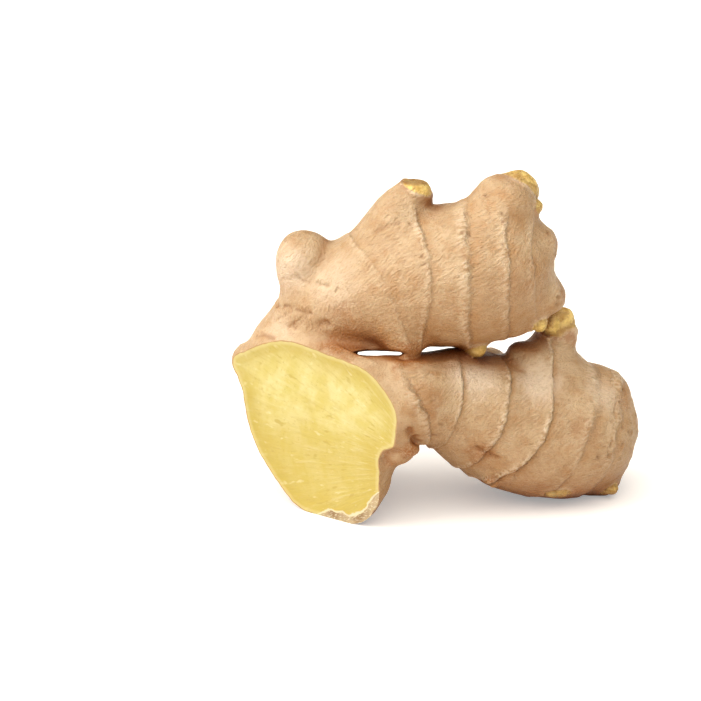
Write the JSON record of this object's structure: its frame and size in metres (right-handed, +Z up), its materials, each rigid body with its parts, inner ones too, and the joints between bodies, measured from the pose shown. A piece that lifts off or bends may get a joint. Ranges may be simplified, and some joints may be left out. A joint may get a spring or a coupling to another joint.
{
  "type": "ginger root",
  "caption": "Fresh ginger rhizome with thick ringed fingers, knobs and pale buds, cut across its mother piece, lying on a surface.",
  "frame": {"origin": "middle of the bounding box, on the surface that the root lies on", "axes": "+X along the fingers, from the cut mother piece to the finger ends; +Y away from the side with the cut; +Z up"},
  "size_m": [0.1371, 0.0598, 0.114],
  "materials": {
    "ginger_skin": "thin dry tan skin with fine lengthwise grain and growth rings, over firm moist yellow flesh that shows on the cut"
  },
  "bodies": {
    "root": {"rhizome": "ginger_skin"}
  },
  "joints": []
}
